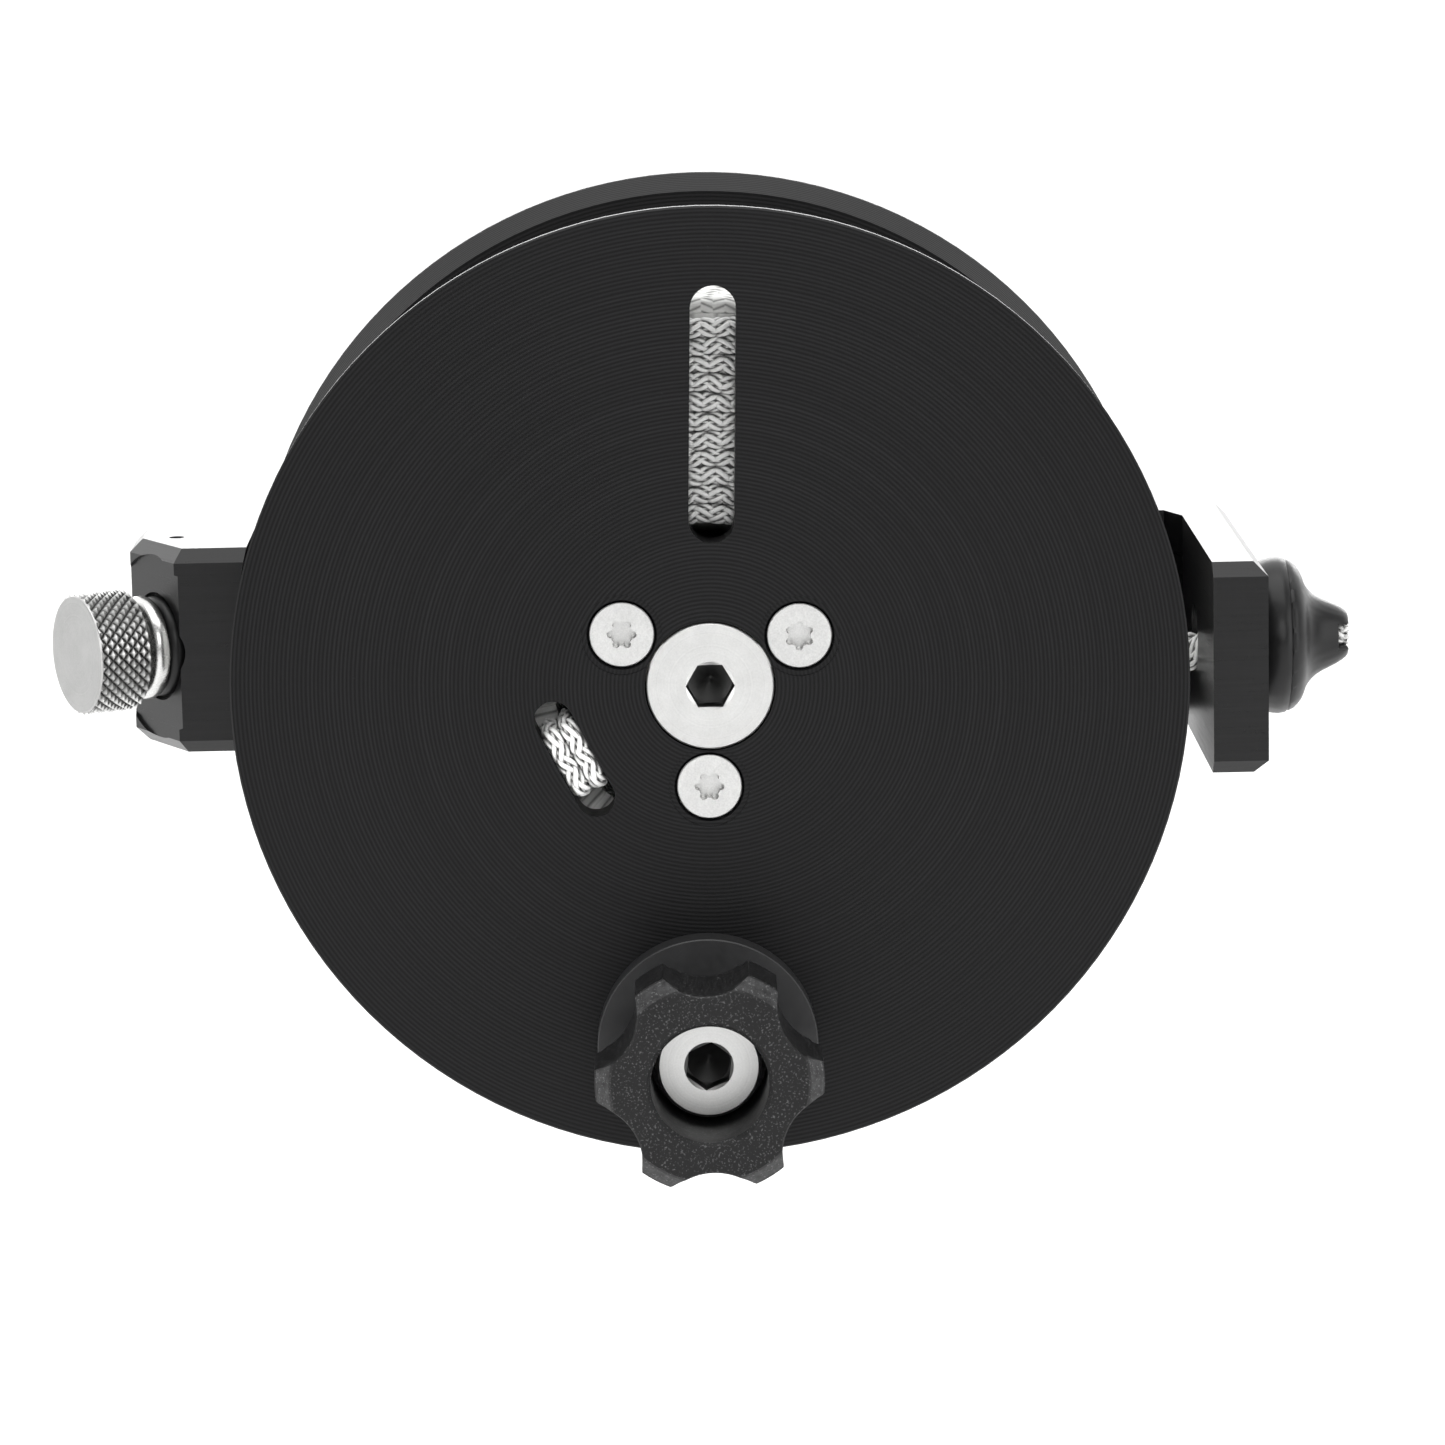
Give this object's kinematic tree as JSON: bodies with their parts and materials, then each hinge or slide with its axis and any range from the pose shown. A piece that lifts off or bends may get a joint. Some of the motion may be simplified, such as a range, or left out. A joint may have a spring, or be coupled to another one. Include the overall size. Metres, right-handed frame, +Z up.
{
  "type": "line reel",
  "caption": "Hand-cranked line reel: a spool of braided line in a U-shaped frame, with a crank knob, a thumb screw that locks the spool and a rubber stopper on the line's end.",
  "frame": {"origin": "on the spool's axis at the back face of the frame's base bar, midway between its two bolt holes", "axes": "+Y along the spool's axis, out of the back face; +Z up; +X from the lock screw's arm towards the arm that the line leaves through; the crank knob faces -Y"},
  "size_m": [0.1271, 0.0743, 0.09],
  "materials": {
    "frame_anodising": "black anodised, milled, satin",
    "flange_anodising": "black anodised over fine turning rings",
    "hub_anodising": "black anodised",
    "stainless": "blasted and turned stainless steel",
    "knurled_stainless": "diamond knurl, brushed end face",
    "bearing_plastic": "natural acetal",
    "knob_plastic": "glass-filled nylon, fine speckle",
    "boss_plastic": "smooth black acetal",
    "rubber": "moulded black rubber, slightly glossy",
    "braided_line": "white braided polyester"
  },
  "bodies": {
    "frame": {"frame_yoke": "frame_anodising", "axle_bolt": "stainless", "axle_sleeve": "stainless", "thrust_washer": "bearing_plastic", "screw_stop_pin": "stainless", "lock_o_ring": "rubber", "line_run": "braided_line"},
    "spool": {"front_flange": "flange_anodising", "rear_flange": "flange_anodising", "spool_hub": "hub_anodising", "front_bush": "bearing_plastic", "rear_bush": "bearing_plastic", "front_flange_screws": "stainless", "rear_flange_screws": "stainless", "line_pack": "braided_line", "line_anchor_loop": "braided_line", "knob_boss": "boss_plastic", "knob_screw": "stainless"},
    "knob": {"crank_knob": "knob_plastic", "knob_bush": "bearing_plastic"},
    "lock_pad": {"lock_pad": "bearing_plastic"},
    "lock_screw": {"lock_screw": "knurled_stainless"},
    "stopper": {"stopper": "rubber", "line_tail": "braided_line"}
  },
  "joints": [
    {"name": "spool_turn", "type": "hinge", "parent": "frame", "child": "spool", "pos_m": [0, -0.036, 0], "axis": [0, 1, 0], "continuous": true},
    {"name": "knob_turn", "type": "hinge", "parent": "spool", "child": "knob", "pos_m": [-0.00089, -0.0655, -0.03399], "axis": [0, 1, 0], "continuous": true},
    {"name": "lock_travel", "type": "slide", "parent": "frame", "child": "lock_pad", "axis": [-0.866, -0.5, 0], "range_m": [0, 0.0024]},
    {"name": "lock_turn", "type": "hinge", "parent": "lock_pad", "child": "lock_screw", "pos_m": [-0.0442, -0.01985, 0], "axis": [-0.866, -0.5, 0], "range_deg": [0, 866]},
    {"name": "stopper_pull", "type": "slide", "parent": "frame", "child": "stopper", "axis": [1, 0, 0], "range_m": [0, 0.008]}
  ],
  "couplings": [
    {"joint": "lock_turn", "follows": "lock_travel", "rad_per_m": 6283.2}
  ]
}
